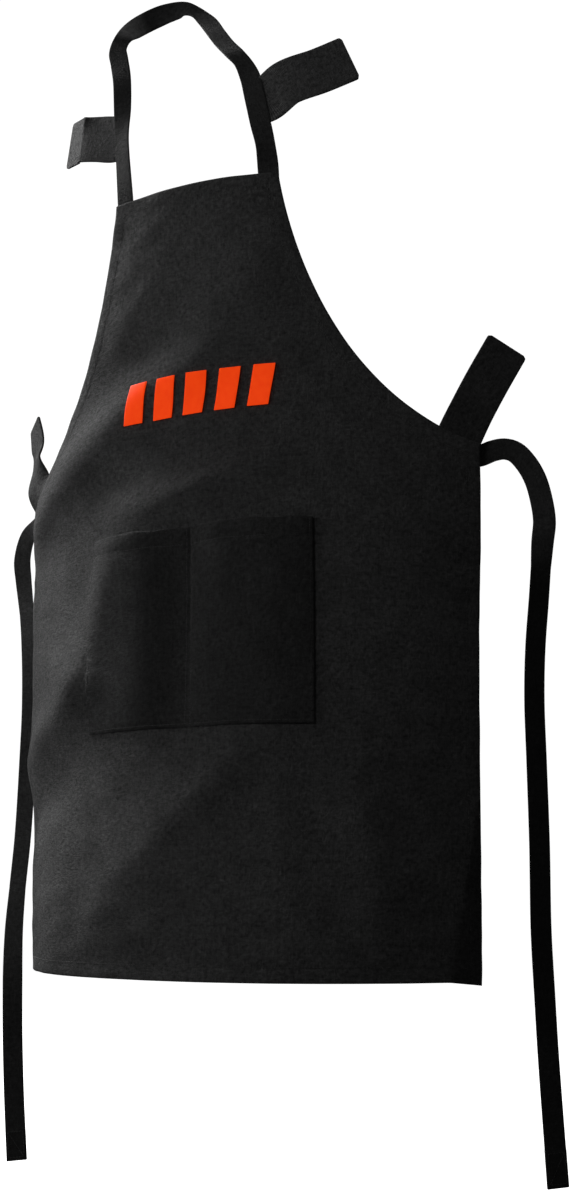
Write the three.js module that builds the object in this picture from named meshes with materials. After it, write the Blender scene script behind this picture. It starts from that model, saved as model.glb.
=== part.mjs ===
// Work apron: a canvas bib and skirt wrapped round a body, with a pocket of two compartments,
// a neck strap, two waist ties, four hook-and-loop tabs and a row of raised bars on the bib.
// Lengths are in millimetres. X runs to the viewer's right, the front faces -Y and Z is up.
// The pieces are laid out from the middle of the bib's top edge, then moved together so that
// the origin is where the neck strap lies on the back of the neck.
import * as THREE from 'three';
import { mergeVertices } from 'three/addons/utils/BufferGeometryUtils.js';

// Panel
const apronLength = 900;
const skirtHalfWidth = 326;
const bibHalfWidth = 108;
const bibHeight = 330;
const clothThickness = 1.4;
const hemWidth = 18;
const hemTurn = 1.1;
const bellyDepth = 23;
const foldHeight = 9;
const foldWidth = 26;
const calmFade = 45;
const cornerTurn = 19;
const cornerFlare = 9;

// Pocket
const pocketHalfWidth = 143;
const pocketDrop = 409;
const pocketHeight = 224;
const pocketCloth = 1.5;
const pocketMouth = 10;

// Tape of the neck strap and the ties
const tapeWidth = 24.5;
const tapeThickness = 2;
const sewnLength = 28;
const neckRise = 279;
const neckDepth = 70;
const tieDrop = 745;

// Hook-and-loop tabs
const shoulderTabLength = 110;
const shoulderTabWidth = 58;
const shoulderTabHeight = 96;
const waistTabLength = 115;
const waistTabWidth = 50;
const tabThickness = 2.6;
const tabSewn = 12;

// Raised bars
const barCount = 5;
const barPitch = 40;
const barWidth = 25;
const barHeight = 47;
const barSlant = 9;
const barThickness = 1.5;
const barRowDrop = 254;
const barRowOffset = 6;

// Gaps between pieces that are sewn or printed on each other: flat on the panel, where the neck
// strap bends over what it is sewn to, and where a tie lies over a tab
const seamGap = 0.6;
const strapGap = 0.9;
const tieGap = 1;

const v = (x, y, z) => new THREE.Vector3(x, y, z);
const mix = THREE.MathUtils.lerp;
const radians = THREE.MathUtils.degToRad;

// Sections of the wrapped panel. down is a share of the apron's length, setback a share of the
// belly depth, and left and right are the degrees that each half width of the skirt turns.
const wrapSections = [
  { down: 0.0, setback: 0.35, left: 37, right: 63 },
  { down: 0.17, setback: 0.63, left: 48, right: 46 },
  { down: 0.33, setback: 0.97, left: 43, right: 30 },
  { down: 0.6, setback: 1.0, left: 45, right: 46 },
  { down: 1.0, setback: 0.6, left: 52, right: 50 },
];

// Folds as ridges from one place to another. across is a share of the skirt's half width and
// down a share of the apron's length; height and width are shares of the fold sizes.
const folds = [
  { fromAcross: -0.4, fromDown: 0.2, toAcross: 0.0, toDown: 0.08, height: 0.6, width: 0.9 },
  { fromAcross: -0.45, fromDown: 0.265, toAcross: 0.24, toDown: 0.15, height: 0.7, width: 1.0 },
  { fromAcross: -0.86, fromDown: 0.375, toAcross: -0.3, toDown: 0.315, height: 1.0, width: 0.85 },
  { fromAcross: -0.46, fromDown: 0.42, toAcross: -0.02, toDown: 0.39, height: 0.5, width: 0.8 },
  { fromAcross: -1.0, fromDown: 0.745, toAcross: -0.45, toDown: 0.61, height: 1.0, width: 1.0 },
  { fromAcross: -0.66, fromDown: 0.8, toAcross: -0.62, toDown: 1.0, height: 0.6, width: 1.2 },
  { fromAcross: -0.42, fromDown: 0.97, toAcross: 0.22, toDown: 0.76, height: 0.85, width: 1.1 },
  { fromAcross: 0.55, fromDown: 0.72, toAcross: 0.7, toDown: 0.95, height: 0.5, width: 1.1 },
];

// Where the right-hand corner of the skirt starts to turn back: on the side edge and on the hem
const cornerCrease = { sideDown: 0.78, hemAcross: 0.88 };

// Pull of the armhole's curve at its two ends, as shares of its width and of the bib's height
const armholePull = { topAcross: 0.091, topDown: 0.423, sideAcross: 0.555, sideDown: 0.11 };

const armholeWidth = skirtHalfWidth - bibHalfWidth;
const armhole = new THREE.CubicBezierCurve(
  new THREE.Vector2(bibHalfWidth, 0),
  new THREE.Vector2(bibHalfWidth + armholePull.topAcross * armholeWidth, armholePull.topDown * bibHeight),
  new THREE.Vector2(skirtHalfWidth - armholePull.sideAcross * armholeWidth, bibHeight * (1 - armholePull.sideDown)),
  new THREE.Vector2(skirtHalfWidth, bibHeight),
);

// Finds the share in [low, high] where a rising measure reaches its target
function solve(measure, target, low, high) {
  for (let step = 0; step < 40; step += 1) {
    const middle = (low + high) / 2;
    if (measure(middle) < target) low = middle;
    else high = middle;
  }
  return (low + high) / 2;
}

const armholeShare = (down) => solve((share) => armhole.getPoint(share).y, down, 0, 1);

const wrap = new THREE.CubicInterpolant(
  wrapSections.map((row) => row.down),
  wrapSections.flatMap((row) => [row.setback * bellyDepth, radians(row.left), radians(row.right)]),
  3,
  [0, 0, 0],
);

// The smooth wrapped surface, without folds
function wrappedPoint(across, down) {
  const [setback, left, right] = wrap.evaluate(down / apronLength);
  const curvature = (across < 0 ? left : right) / skirtHalfWidth;
  const turn = curvature * across;
  return v(Math.sin(turn) / curvature, setback + (1 - Math.cos(turn)) / curvature, -down);
}

function frontNormal(surface, across, down) {
  const reach = 1;
  const sideways = surface(across + reach, down).sub(surface(across - reach, down));
  const downwards = surface(across, down + reach).sub(surface(across, down - reach));
  return sideways.cross(downwards).negate().normalize();
}

// The cloth lies flatter under the pocket and under the raised bars
const calmZones = [
  { across: 0, down: pocketDrop + pocketHeight / 2, halfAcross: pocketHalfWidth, halfDown: pocketHeight / 2 },
  { across: barRowOffset, down: barRowDrop, halfAcross: barCount * barPitch / 2, halfDown: barHeight / 2 },
];

function liveliness(across, down) {
  return calmZones.reduce((share, zone) => {
    const outside = Math.hypot(
      Math.max(Math.abs(across - zone.across) - zone.halfAcross, 0),
      Math.max(Math.abs(down - zone.down) - zone.halfDown, 0),
    );
    return Math.min(share, mix(0.15, 1, THREE.MathUtils.smoothstep(outside, 0, calmFade)));
  }, 1);
}

function foldLift(across, down) {
  let lift = 0;
  for (const fold of folds) {
    const start = new THREE.Vector2(fold.fromAcross * skirtHalfWidth, fold.fromDown * apronLength);
    const end = new THREE.Vector2(fold.toAcross * skirtHalfWidth, fold.toDown * apronLength);
    const run = end.clone().sub(start);
    const place = new THREE.Vector2(across, down).sub(start);
    const along = THREE.MathUtils.clamp(place.dot(run) / run.lengthSq(), 0, 1);
    const away = place.sub(run.multiplyScalar(along)).length() / (fold.width * foldWidth);
    const taper = 1 - 0.6 * Math.abs(2 * along - 1) ** 3;
    lift += fold.height * foldHeight * taper * Math.exp(-(away ** 2));
  }
  return lift * liveliness(across, down);
}

// How far a place lies beyond the crease of the turned-back corner, as a share of its hem
function beyondCrease(across, down) {
  const downShare = (down / apronLength - cornerCrease.sideDown) / (1 - cornerCrease.sideDown);
  if (downShare <= 0) return 0;
  const crease = mix(1, cornerCrease.hemAcross, downShare);
  return Math.max((across / skirtHalfWidth - crease) / (1 - cornerCrease.hemAcross), 0);
}

// The middle of the panel's cloth, with its folds
function clothPoint(across, down) {
  const beyond = beyondCrease(across, down);
  const spread = across + cornerFlare * beyond;
  const lift = foldLift(across, down) - cornerTurn * beyond;
  return wrappedPoint(spread, down).addScaledVector(frontNormal(wrappedPoint, spread, down), lift);
}

// A place in front of the middle of the panel's cloth, or behind it where forward is negative
function offPanel(across, down, forward) {
  return clothPoint(across, down).addScaledVector(frontNormal(clothPoint, across, down), forward);
}

const panelFront = clothThickness / 2;
const hemBack = -(clothThickness / 2 + hemTurn);

// A closed sheet of cloth: place(row, column) gives its front and its back point
function clothSheet(rows, columns, place) {
  const positions = [];
  const index = [];
  const layer = rows * columns;
  for (const face of ['front', 'back']) {
    for (let row = 0; row < rows; row += 1) {
      for (let column = 0; column < columns; column += 1) positions.push(...place(row, column)[face].toArray());
    }
  }
  const quad = (a, b, c, d) => index.push(a, b, c, a, c, d);
  const at = (row, column) => row * columns + column;
  for (let row = 0; row < rows - 1; row += 1) {
    for (let column = 0; column < columns - 1; column += 1) {
      const [a, b] = [at(row, column), at(row + 1, column)];
      const [c, d] = [at(row + 1, column + 1), at(row, column + 1)];
      quad(a, b, c, d);
      index.push(layer + a, layer + c, layer + b, layer + a, layer + d, layer + c);
    }
  }
  const rim = [];
  for (let column = 0; column < columns - 1; column += 1) rim.push(at(0, column));
  for (let row = 0; row < rows - 1; row += 1) rim.push(at(row, columns - 1));
  for (let column = columns - 1; column > 0; column -= 1) rim.push(at(rows - 1, column));
  for (let row = rows - 1; row > 0; row -= 1) rim.push(at(row, 0));
  rim.forEach((corner, step) => {
    const next = rim[(step + 1) % rim.length];
    quad(corner, next, layer + next, layer + corner);
  });
  const geometry = new THREE.BufferGeometry();
  geometry.setAttribute('position', new THREE.Float32BufferAttribute(positions, 3));
  geometry.setIndex(index);
  geometry.computeVertexNormals();
  return geometry;
}

// A flat tape with rounded edges that follows a curve; wide(share) is the direction of its width
function tape(curve, wide, steps) {
  const half = tapeWidth / 2;
  const thin = tapeThickness / 2;
  const section = new THREE.Shape([
    new THREE.Vector2(half, -thin / 2), new THREE.Vector2(half, thin / 2),
    new THREE.Vector2(half - thin, thin), new THREE.Vector2(-half + thin, thin),
    new THREE.Vector2(-half, thin / 2), new THREE.Vector2(-half, -thin / 2),
    new THREE.Vector2(-half + thin, -thin), new THREE.Vector2(half - thin, -thin),
  ]);
  const straight = new THREE.ExtrudeGeometry(section, { depth: 1, steps, bevelEnabled: false });
  straight.deleteAttribute('normal');
  straight.deleteAttribute('uv');
  const geometry = mergeVertices(straight);
  const position = geometry.attributes.position;
  for (let corner = 0; corner < position.count; corner += 1) {
    const frame = tapeFrame(curve, wide, position.getZ(corner));
    const point = frame.point
      .addScaledVector(frame.wide, position.getX(corner))
      .addScaledVector(frame.flat, position.getY(corner));
    position.setXYZ(corner, ...point.toArray());
  }
  geometry.computeVertexNormals();
  return geometry;
}

function tapeFrame(curve, wide, share) {
  const along = curve.getTangentAt(share);
  const flat = along.clone().cross(wide(share)).normalize();
  return { point: curve.getPointAt(share), along, flat, wide: flat.clone().cross(along) };
}

const canvas = new THREE.MeshStandardMaterial({ color: 0x1b1b1d, roughness: 0.92, metalness: 0 });
const pocketCanvas = new THREE.MeshStandardMaterial({ color: 0x1a1a1c, roughness: 0.92, metalness: 0 });
const tapeCloth = new THREE.MeshStandardMaterial({ color: 0x161617, roughness: 0.88, metalness: 0 });
const hookAndLoop = new THREE.MeshStandardMaterial({ color: 0x121213, roughness: 0.95, metalness: 0 });
const orangePrint = new THREE.MeshStandardMaterial({ color: 0xf24210, roughness: 0.55, metalness: 0 });

const apron = new THREE.Group();

function addPiece(name, geometry, material) {
  const piece = new THREE.Mesh(geometry, material);
  piece.name = name;
  apron.add(piece);
}

// Panel: rows follow the armhole's curve down the bib and are even down the skirt
const hemStep = 3;
const armholeRows = 18;
const skirtRows = 21;
const innerColumns = 30;

const hemShare = armholeShare(hemWidth + hemStep);
const panelRows = [0, hemWidth];
for (let step = 0; step < armholeRows; step += 1) {
  panelRows.push(armhole.getPoint(mix(hemShare, 1, step / armholeRows)).y);
}
for (let step = 0; step <= skirtRows; step += 1) {
  panelRows.push(mix(bibHeight, apronLength - hemWidth - hemStep, step / skirtRows));
}
panelRows.push(apronLength - hemWidth, apronLength);

function panelHalfWidth(down) {
  return down < bibHeight ? armhole.getPoint(armholeShare(down)).x : skirtHalfWidth;
}

function panelColumn(column, half) {
  const last = innerColumns + 4;
  if (column === 0 || column === last) return Math.sign(column - 1) * half;
  if (column === 1 || column === last - 1) return Math.sign(column - 2) * (half - hemWidth);
  const inner = half - hemWidth - hemStep;
  return mix(-inner, inner, (column - 2) / innerColumns);
}

function panelPlace(row, column) {
  const down = panelRows[row];
  const across = panelColumn(column, panelHalfWidth(down));
  const inHem = row < 2 || row > panelRows.length - 3 || column < 2 || column > innerColumns + 2;
  const back = inHem ? hemBack : -clothThickness / 2;
  return { front: offPanel(across, down, panelFront), back: offPanel(across, down, back) };
}

addPiece('apron_panel', clothSheet(panelRows.length, innerColumns + 5, panelPlace), canvas);

// Pocket: sewn on at its sides, foot and middle, and standing open at its two mouths
const compartmentColumns = 9;
const pocketRows = 10;

function pocketStand(columnShare, downShare) {
  const compartment = Math.sin(Math.PI * ((2 * columnShare) % 1)) ** 0.7;
  return pocketMouth * compartment * Math.cos(downShare * Math.PI / 2);
}

function pocketPlace(row, column) {
  const columnShare = column / (2 * compartmentColumns);
  const downShare = row / pocketRows;
  const across = mix(-pocketHalfWidth, pocketHalfWidth, columnShare);
  const down = pocketDrop + downShare * pocketHeight;
  const back = panelFront + seamGap + Math.max(pocketStand(columnShare, downShare), 0);
  return { front: offPanel(across, down, back + pocketCloth), back: offPanel(across, down, back) };
}

addPiece('front_pocket', clothSheet(pocketRows + 1, 2 * compartmentColumns + 1, pocketPlace), pocketCanvas);

// Neck strap above the bib. across is a share of the bib's half width, back of the neck depth
// and up of the neck rise; wide points to the edge of the tape that lies inside the loop.
const neckRoute = [
  { across: -0.954, back: 0.31, up: 0.315, wide: v(0.95, -0.31, 0.0) },
  { across: -0.964, back: 0.324, up: 0.472, wide: v(1, 0, 0.04) },
  { across: -0.988, back: 0.34, up: 0.613, wide: v(0.98, 0.08, 0.16) },
  { across: -1.07, back: 0.439, up: 0.724, wide: v(0.96, 0.1, 0.25) },
  { across: -1.118, back: 0.494, up: 0.794, wide: v(1, 0.08, 0.01) },
  { across: -1.079, back: 0.573, up: 0.861, wide: v(0.89, 0.13, -0.43) },
  { across: -0.967, back: 0.74, up: 0.927, wide: v(0.4, 0.51, -0.76) },
  { across: -0.774, back: 0.866, up: 0.972, wide: v(0.18, 0.55, -0.81) },
  { across: -0.628, back: 0.937, up: 0.992, wide: v(0.15, 0.27, -0.95) },
  { across: -0.454, back: 1, up: 1, wide: v(-0.11, -0.15, -0.98) },
  { across: -0.344, back: 1.003, up: 0.984, wide: v(-0.41, -0.55, -0.73) },
  { across: -0.221, back: 0.994, up: 0.948, wide: v(-0.52, -0.7, -0.48) },
  { across: -0.109, back: 0.961, up: 0.897, wide: v(-0.74, -0.57, -0.36) },
  { across: 0.067, back: 0.749, up: 0.797, wide: v(-0.77, -0.58, -0.27) },
  { across: 0.228, back: 0.621, up: 0.704, wide: v(-0.74, -0.59, -0.32) },
  { across: 0.419, back: 0.474, up: 0.61, wide: v(-0.72, -0.58, -0.38) },
  { across: 0.548, back: 0.427, up: 0.542, wide: v(-0.69, -0.65, -0.31) },
  { across: 0.64, back: 0.39, up: 0.462, wide: v(-0.92, -0.38, -0.05) },
  { across: 0.695, back: 0.377, up: 0.371, wide: v(-0.93, -0.36, 0) },
  { across: 0.765, back: 0.37, up: 0.248, wide: v(-0.89, -0.41, -0.19) },
  { across: 0.842, back: 0.359, up: 0.116, wide: v(-0.74, -0.66, -0.12) },
];
const napeRow = 9;

const strapInset = tapeWidth / 2 - 0.5;
const behindHem = hemBack - strapGap - tapeThickness / 2;

function sewnStrapRows(side) {
  const across = side * (bibHalfWidth - strapInset);
  const inwards = offPanel(across - side, 0, 0).sub(offPanel(across + side, 0, 0)).normalize();
  return [1, 0.5, 0].map((share) => ({
    point: offPanel(across, share * sewnLength, behindHem),
    wide: inwards,
  }));
}

const neckRows = [
  ...sewnStrapRows(-1),
  ...neckRoute.map((row) => ({
    point: v(row.across * bibHalfWidth, row.back * neckDepth, row.up * neckRise),
    wide: row.wide,
  })),
  ...sewnStrapRows(1).reverse(),
];
const neckCurve = new THREE.CatmullRomCurve3(neckRows.map((row) => row.point), false, 'centripetal');
const neckWideCurve = new THREE.CatmullRomCurve3(neckRows.map((row) => row.wide), false, 'centripetal');
const neckWide = (share) => neckWideCurve.getPoint(neckCurve.getUtoTmapping(share));

addPiece('neck_strap', tape(neckCurve, neckWide, 90), tapeCloth);

// Waist ties: sewn behind the skirt's corners and the tabs, they leave sideways and hang down.
// across counts outwards from the skirt's side edge, back from it, and down from the bib's foot
// as shares of the tie's drop.
const rightTieRoute = [
  { across: 0.019, back: 0.011, down: -0.009 },
  { across: 0.034, back: 0.019, down: -0.012 },
  { across: 0.048, back: 0.024, down: -0.007 },
  { across: 0.063, back: 0.028, down: 0.011 },
  { across: 0.075, back: 0.031, down: 0.036 },
  { across: 0.083, back: 0.032, down: 0.07 },
  { across: 0.086, back: 0.032, down: 0.101 },
  { across: 0.082, back: 0.032, down: 0.132 },
  { across: 0.074, back: 0.032, down: 0.211 },
  { across: 0.066, back: 0.032, down: 0.285 },
  { across: 0.062, back: 0.032, down: 0.357 },
  { across: 0.062, back: 0.032, down: 0.448 },
  { across: 0.062, back: 0.032, down: 0.561 },
  { across: 0.06, back: 0.032, down: 0.677 },
  { across: 0.062, back: 0.032, down: 0.77 },
  { across: 0.064, back: 0.032, down: 0.844 },
  { across: 0.071, back: 0.032, down: 1.009 },
];
const leftTieRoute = [
  { across: 0.018, back: 0.014, down: 0.003 },
  { across: 0.04, back: 0.022, down: 0.016 },
  { across: 0.051, back: 0.024, down: 0.054 },
  { across: 0.049, back: 0.027, down: 0.09 },
  { across: 0.044, back: 0.028, down: 0.125 },
  { across: 0.034, back: 0.028, down: 0.196 },
  { across: 0.026, back: 0.028, down: 0.302 },
  { across: 0.027, back: 0.028, down: 0.411 },
  { across: 0.031, back: 0.028, down: 0.533 },
  { across: 0.038, back: 0.028, down: 0.62 },
  { across: 0.042, back: 0.028, down: 0.695 },
  { across: 0.038, back: 0.028, down: 0.827 },
  { across: 0.03, back: 0.028, down: 0.938 },
  { across: 0.019, back: 0.028, down: 1.046 },
];

const behindTab = hemBack - seamGap - tabThickness - tieGap - tapeThickness / 2;
const tieRoot = bibHeight + tapeWidth / 2 + 1;

function tieCurve(side, route) {
  const edge = offPanel(side * skirtHalfWidth, tieRoot, behindTab);
  const points = [1, 0.5].map((share) => (
    offPanel(side * (skirtHalfWidth - share * sewnLength), tieRoot, behindTab)
  ));
  points.push(edge);
  for (const row of route) {
    points.push(edge.clone().add(v(side * row.across * tieDrop, row.back * tieDrop, -row.down * tieDrop)));
  }
  return new THREE.CatmullRomCurve3(points, false, 'centripetal');
}

function addTie(name, side, route, facing) {
  const curve = tieCurve(side, route);
  const wide = (share) => curve.getTangentAt(share).cross(facing).multiplyScalar(side);
  addPiece(name, tape(curve, wide, 48), tapeCloth);
}

addTie('waist_tie_right', 1, rightTieRoute, v(0.75, -0.66, 0));
addTie('waist_tie_left', -1, leftTieRoute, v(0.2, -0.98, 0));

// Tabs: a sewn end lies behind its carrier, and stations carry the tab on from there. right,
// back and up are shares of the tab's length, and wide is the direction across the tab.
const tabRows = 10;
const tabColumns = 4;

function tabSheet(stations, width) {
  const middle = new THREE.CatmullRomCurve3(stations.map((row) => row.point), false, 'centripetal');
  const wides = new THREE.CatmullRomCurve3(stations.map((row) => row.wide), false, 'centripetal');
  return clothSheet(tabRows + 1, tabColumns + 1, (row, column) => {
    const share = row / tabRows;
    const along = middle.getTangentAt(share);
    const wide = wides.getPoint(middle.getUtoTmapping(share)).normalize();
    const front = along.clone().cross(wide).normalize();
    const point = middle.getPointAt(share).addScaledVector(wide, width * (column / tabColumns - 0.5));
    return {
      front: point.clone().addScaledVector(front, tabThickness / 2),
      back: point.addScaledVector(front, -tabThickness / 2),
    };
  });
}

function freeStations(root, table, length) {
  return table.map((row) => ({
    point: root.clone().add(v(row.right, row.back, row.up).multiplyScalar(length)),
    wide: row.wide,
  }));
}

const shoulderTabs = [
  {
    name: 'shoulder_tab_left',
    side: -1,
    stations: [
      { right: -0.28, back: 0.07, up: 0.1, wide: v(0.02, 0.02, 1) },
      { right: -0.58, back: 0.17, up: 0.2, wide: v(0.02, 0.02, 1) },
      { right: -0.89, back: 0.38, up: 0.31, wide: v(0.02, 0.02, 1) },
    ],
  },
  {
    name: 'shoulder_tab_right',
    side: 1,
    stations: [
      { right: 0.21, back: 0.07, up: 0.19, wide: v(0.27, 0.1, -0.96) },
      { right: 0.54, back: 0.2, up: 0.32, wide: v(0.25, 0.09, -0.97) },
      { right: 0.845, back: 0.318, up: 0.455, wide: v(0.24, 0.09, -0.97) },
    ],
  },
];

// A leg of the neck strap takes up less than this share of it
const legShare = 0.3;

function addShoulderTab({ name, side, stations }) {
  const fromEnd = (share) => (side < 0 ? share : 1 - share);
  const height = (share) => neckCurve.getPointAt(fromEnd(share)).z;
  const leg = tapeFrame(neckCurve, neckWide, fromEnd(solve(height, shoulderTabHeight, 0, legShare)));
  const behind = leg.flat.clone().multiplyScalar(Math.sign(leg.flat.y));
  const seat = tapeThickness / 2 + strapGap + tabThickness / 2;
  const sewn = leg.point.clone().addScaledVector(behind, seat);
  const root = sewn.clone().addScaledVector(leg.wide, -tapeWidth / 2);
  const rows = [{ point: sewn, wide: leg.along }, { point: root, wide: leg.along }];
  const all = [...rows, ...freeStations(root, stations, shoulderTabLength)];
  addPiece(name, tabSheet(all, shoulderTabWidth), hookAndLoop);
}

shoulderTabs.forEach(addShoulderTab);

const waistTabs = [
  {
    name: 'waist_tab_left',
    side: -1,
    stations: [
      { right: -0.087, back: 0.06, up: 0.226, wide: v(-0.9, 0.39, -0.16) },
      { right: -0.139, back: 0.078, up: 0.487, wide: v(-0.66, 0.7, -0.25) },
      { right: -0.13, back: 0.078, up: 0.678, wide: v(-0.74, 0.6, -0.25) },
      { right: -0.19, back: 0.087, up: 0.965, wide: v(-0.7, 0.68, -0.25) },
    ],
  },
  {
    name: 'waist_tab_right',
    side: 1,
    stations: [
      { right: 0.1, back: 0.05, up: 0.23, wide: v(0.72, 0.57, -0.4) },
      { right: 0.24, back: 0.09, up: 0.5, wide: v(0.7, 0.57, -0.44) },
      { right: 0.45, back: 0.165, up: 0.887, wide: v(0.65, 0.56, -0.51) },
    ],
  },
];

function addWaistTab({ name, side, stations }) {
  const seat = hemBack - seamGap - tabThickness / 2;
  const nearShare = solve((share) => armhole.getPoint(share).x, skirtHalfWidth - waistTabWidth * 0.84, 0, 1);
  const near = armhole.getPoint(nearShare);
  const edge = [near, new THREE.Vector2(skirtHalfWidth, bibHeight)];
  const inwards = new THREE.Vector2(-(edge[1].y - edge[0].y), edge[1].x - edge[0].x).normalize();
  const rows = [1, 0].map((share) => {
    const ends = edge.map((end) => offPanel(
      side * (end.x + share * tabSewn * inwards.x), end.y + share * tabSewn * inwards.y, seat,
    ));
    return { point: ends[0].clone().lerp(ends[1], 0.5), wide: ends[1].sub(ends[0]).normalize() };
  });
  const all = [...rows, ...freeStations(rows[1].point, stations, waistTabLength)];
  addPiece(name, tabSheet(all, waistTabWidth), hookAndLoop);
}

waistTabs.forEach(addWaistTab);

// Raised bars: slanted, on the bib between the armholes
const barRows = 4;
const barColumns = 2;

for (let bar = 1; bar <= barCount; bar += 1) {
  const middle = barRowOffset + (bar - (barCount + 1) / 2) * barPitch;
  const back = panelFront + seamGap;
  addPiece(`print_bar_${bar}`, clothSheet(barRows + 1, barColumns + 1, (row, column) => {
    const share = row / barRows - 0.5;
    const across = middle + barWidth * (column / barColumns - 0.5) - barSlant * share;
    const down = barRowDrop + barHeight * share;
    return { front: offPanel(across, down, back + barThickness), back: offPanel(across, down, back) };
  }), orangePrint);
}

// Move the whole apron so that the strap's inner face behind the neck is at the origin
const nape = v(
  neckRoute[napeRow].across * bibHalfWidth,
  neckRoute[napeRow].back * neckDepth - tapeThickness / 2,
  neckRoute[napeRow].up * neckRise,
);
apron.position.copy(nape).negate();

export default apron;
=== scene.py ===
import math

import bpy
import numpy as np
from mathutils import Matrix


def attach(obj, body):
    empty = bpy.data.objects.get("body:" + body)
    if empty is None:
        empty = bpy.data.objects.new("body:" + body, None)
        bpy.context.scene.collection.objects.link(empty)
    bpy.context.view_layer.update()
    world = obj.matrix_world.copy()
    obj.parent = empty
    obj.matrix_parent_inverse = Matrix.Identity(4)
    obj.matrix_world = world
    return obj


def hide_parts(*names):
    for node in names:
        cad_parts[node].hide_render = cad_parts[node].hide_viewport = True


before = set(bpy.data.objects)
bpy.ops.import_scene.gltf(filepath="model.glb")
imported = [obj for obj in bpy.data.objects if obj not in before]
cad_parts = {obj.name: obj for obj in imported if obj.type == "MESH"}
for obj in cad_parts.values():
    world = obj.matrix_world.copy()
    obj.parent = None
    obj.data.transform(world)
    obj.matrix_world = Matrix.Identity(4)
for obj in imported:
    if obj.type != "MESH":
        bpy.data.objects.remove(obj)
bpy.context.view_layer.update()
bpy.context.scene.view_settings.view_transform = "Standard"

# Camera: near knee height, 25 degrees round to the viewer's right and looking up, so that the
# hem lies just under the horizon and the ties hang to the foot of the picture.
bpy.ops.object.camera_add(
    location=(0.8060, -1.3846, -1.0876),
    rotation=(math.radians(101.65), 0, math.radians(25.4)),
)
camera = bpy.context.object
camera.name = "camera"
camera.data.lens = 42.53
bpy.context.scene.camera = camera

# Waist ties: two limp lengths of flat cotton tape, sewn behind the skirt's upper corners. Each
# leaves sideways, bends over under its own weight and ends in a turned-up, stitched hem.
tape_width = 0.0245
tape_thickness = 0.002
route_steps = 260
tape_columns = 9
# Each tie is doubled over its last stretch, which is sewn with a box of stitches and one diagonal
tie_fold = 0.036
doubled_thickness = 0.0024
single_share = 0.6
fold_side_margin = 0.003
fold_end_margin = 0.004
fold_stitch_lift = 0.00124
# The row of each route where the tie comes out from behind the skirt
right_tie_route = [
    (0.33214, 0.0316, -0.62149), (0.3443, 0.03821, -0.62143), (0.35631, 0.04509, -0.62136),
    (0.37046, 0.05329, -0.61466), (0.38164, 0.05925, -0.61242), (0.39207, 0.06297, -0.61615),
    (0.40324, 0.06595, -0.62956), (0.41218, 0.06819, -0.64818), (0.41814, 0.06893, -0.67351),
    (0.42038, 0.06893, -0.69661), (0.4174, 0.06893, -0.7197), (0.41144, 0.06893, -0.77856),
    (0.40548, 0.06893, -0.83369), (0.4025, 0.06893, -0.88733), (0.4025, 0.06893, -0.95512),
    (0.4025, 0.06893, -1.03931), (0.40101, 0.06893, -1.12573), (0.4025, 0.06893, -1.19501),
    (0.40399, 0.06893, -1.25014), (0.4092, 0.06893, -1.37307),
]
left_tie_route = [
    (-0.22252, 0.05539, -0.62191), (-0.23261, 0.06563, -0.62212), (-0.24287, 0.07532, -0.62218),
    (-0.25628, 0.08575, -0.62441), (-0.27267, 0.09171, -0.6341), (-0.28087, 0.0932, -0.66241),
    (-0.27938, 0.09544, -0.68923), (-0.27565, 0.09618, -0.7153), (-0.2682, 0.09618, -0.7682),
    (-0.26224, 0.09618, -0.84717), (-0.26299, 0.09618, -0.92837), (-0.26597, 0.09618, -1.01926),
    (-0.27118, 0.09618, -1.08408), (-0.27416, 0.09618, -1.13995), (-0.27118, 0.09618, -1.23829),
    (-0.26522, 0.09618, -1.32099), (-0.25703, 0.09618, -1.40145),
]
# Which way each tie's flat side faces, by the share of its length
right_tie_facing = [
    (0, 0.3, -0.95), (0.2, 0.35, -0.94), (0.25, 0.72, -0.69), (1, 0.72, -0.69),
]
left_tie_facing = [
    (0, -0.2, -0.98), (0.12, 0.1, -0.99), (0.2, -0.15, -0.99), (0.33, 0.08, -1),
    (0.62, 0, -1), (0.75, 0.4, -0.92), (1, 0.4, -0.92),
]
# Painted light and shade on each tie, by the share of its length: how much paler or darker than its
# dye it is drawn
tie_painted_shading = {
    "right": [(0, 0.3), (0.22, 0.3), (0.27, -0.5), (0.8, -0.55), (0.86, -0.2), (1, -0.2)],
    "left": [(0, 0.2), (0.2, 0.7), (0.4, 0.1), (0.6, 0.25), (0.72, 0.3), (0.78, -0.3), (1, -0.3)],
}


def smooth_route(rows, steps):
    """The smooth curve through rows that start with x, y and z, at even steps, and its length."""
    rows = np.array(rows, float)
    rows = np.vstack([2 * rows[0] - rows[1], rows, 2 * rows[-1] - rows[-2]])
    gaps = np.linalg.norm(np.diff(rows[:, :3], axis=0), axis=1) ** 0.5
    t = np.linspace(0, 1, 40, endpoint=False)[:, None]
    stretches = []
    for i in range(1, len(rows) - 2):
        before, start, end, after = rows[i - 1:i + 3]
        first, here, last = gaps[i - 1:i + 2]
        leave = end - start + here * ((start - before) / first - (end - before) / (first + here))
        reach = end - start + here * ((after - end) / last - (after - start) / (here + last))
        stretches.append(
            start * (2 * t**3 - 3 * t**2 + 1) + leave * (t**3 - 2 * t**2 + t)
            + end * (3 * t**2 - 2 * t**3) + reach * (t**3 - t**2)
        )
    fine = np.vstack(stretches + [rows[-2:-1]])
    run = np.concatenate([[0], np.cumsum(np.linalg.norm(np.diff(fine[:, :3], axis=0), axis=1))])
    even = np.linspace(0, run[-1], steps + 1)
    return np.column_stack([np.interp(even, run, column) for column in fine.T]), run[-1]


def unit(vectors):
    return vectors / np.linalg.norm(vectors, axis=-1, keepdims=True)


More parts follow.
